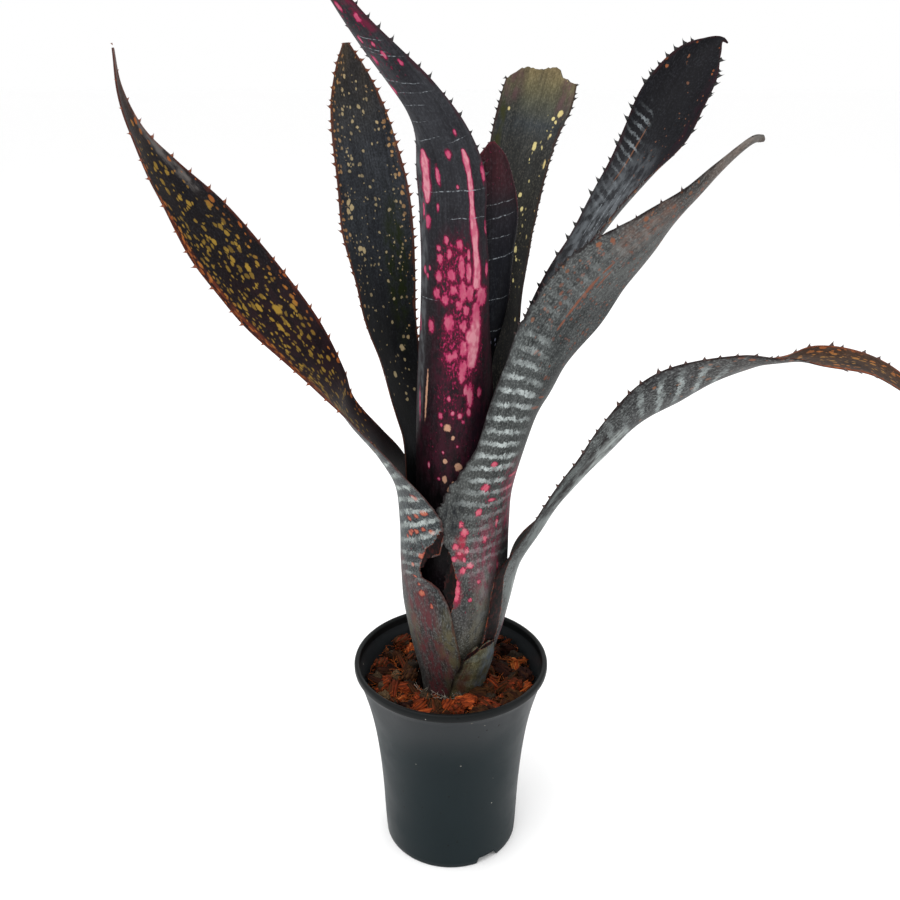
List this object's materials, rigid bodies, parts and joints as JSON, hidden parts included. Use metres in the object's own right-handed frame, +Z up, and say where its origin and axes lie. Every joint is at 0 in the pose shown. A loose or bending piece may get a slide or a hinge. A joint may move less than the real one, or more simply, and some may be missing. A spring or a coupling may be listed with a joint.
{
  "type": "potted billbergia",
  "caption": "Tall tubular billbergia with banded, spotted, spiny leaves, growing in coir chips in a flared plastic nursery pot.",
  "frame": {"origin": "on the table under the middle of the pot, at the flat pad under the pot's floor", "axes": "+Z up out of the pot, +X to the right and -Y towards the viewer of the picture"},
  "size_m": [0.3969, 0.1426, 0.5434],
  "materials": {
    "pot_plastic": "satin charcoal, slightly scuffed",
    "coir_mix": "rough fibrous husk chips and dark pumice",
    "stem_tissue": "dull, fibrous",
    "leaf_banded": "matt grey with white powdery cross bands",
    "leaf_spotted": "satin near black with amber spots",
    "leaf_dark": "satin blue black",
    "leaf_olive": "satin olive grey with pale spots",
    "leaf_pink": "satin plum black with pink blotches",
    "dry_sheath": "dull olive brown, torn edge"
  },
  "bodies": {
    "root": {"pot": "pot_plastic", "potting_mix": "coir_mix", "stem": "stem_tissue", "leaf_arching_right": "leaf_banded", "leaf_far_left": "leaf_spotted", "leaf_front_right": "leaf_banded", "leaf_upper_right": "leaf_dark", "leaf_back_left": "leaf_spotted", "leaf_back_right": "leaf_olive", "leaf_centre": "leaf_pink", "leaf_inner": "leaf_dark", "old_sheath": "dry_sheath"}
  },
  "joints": []
}
